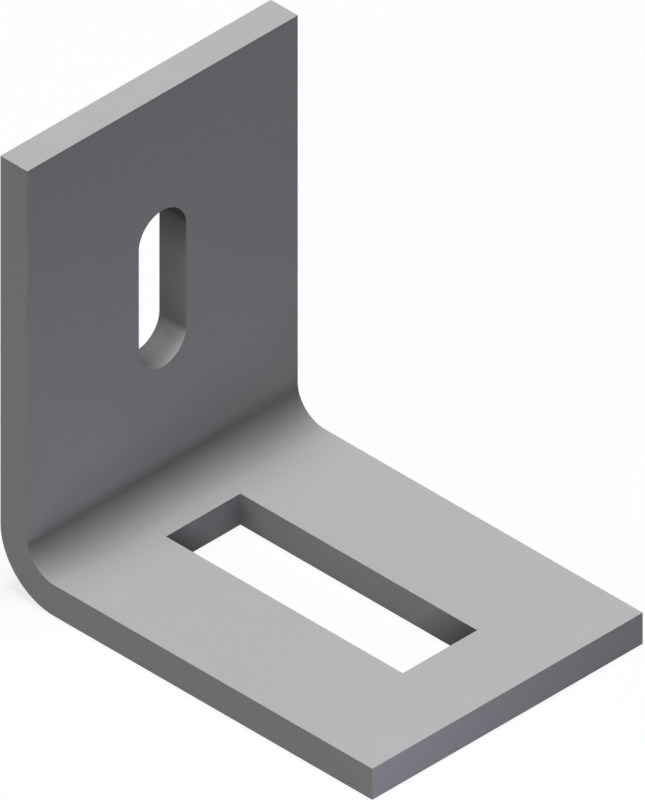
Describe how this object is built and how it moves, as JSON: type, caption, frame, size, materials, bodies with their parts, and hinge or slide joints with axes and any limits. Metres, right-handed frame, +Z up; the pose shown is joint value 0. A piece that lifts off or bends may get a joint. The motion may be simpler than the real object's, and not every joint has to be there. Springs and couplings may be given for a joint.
{
  "type": "angle bracket",
  "caption": "L-shaped angle bracket folded from flat steel bar, with a long rectangular slot in its foot and an upright obround bolt slot in its back leg.",
  "frame": {"origin": "middle of the bracket's footprint, on the underside of the foot, which is also the middle of the foot's rectangular slot", "axes": "+Z up the upright, +X from the back of the upright to the free end of the foot, +Y across the bar"},
  "size_m": [0.11, 0.08, 0.11],
  "materials": {
    "plain_steel": "unpainted mid-grey satin steel"
  },
  "bodies": {
    "root": {"angle_bracket": "plain_steel"}
  },
  "joints": []
}
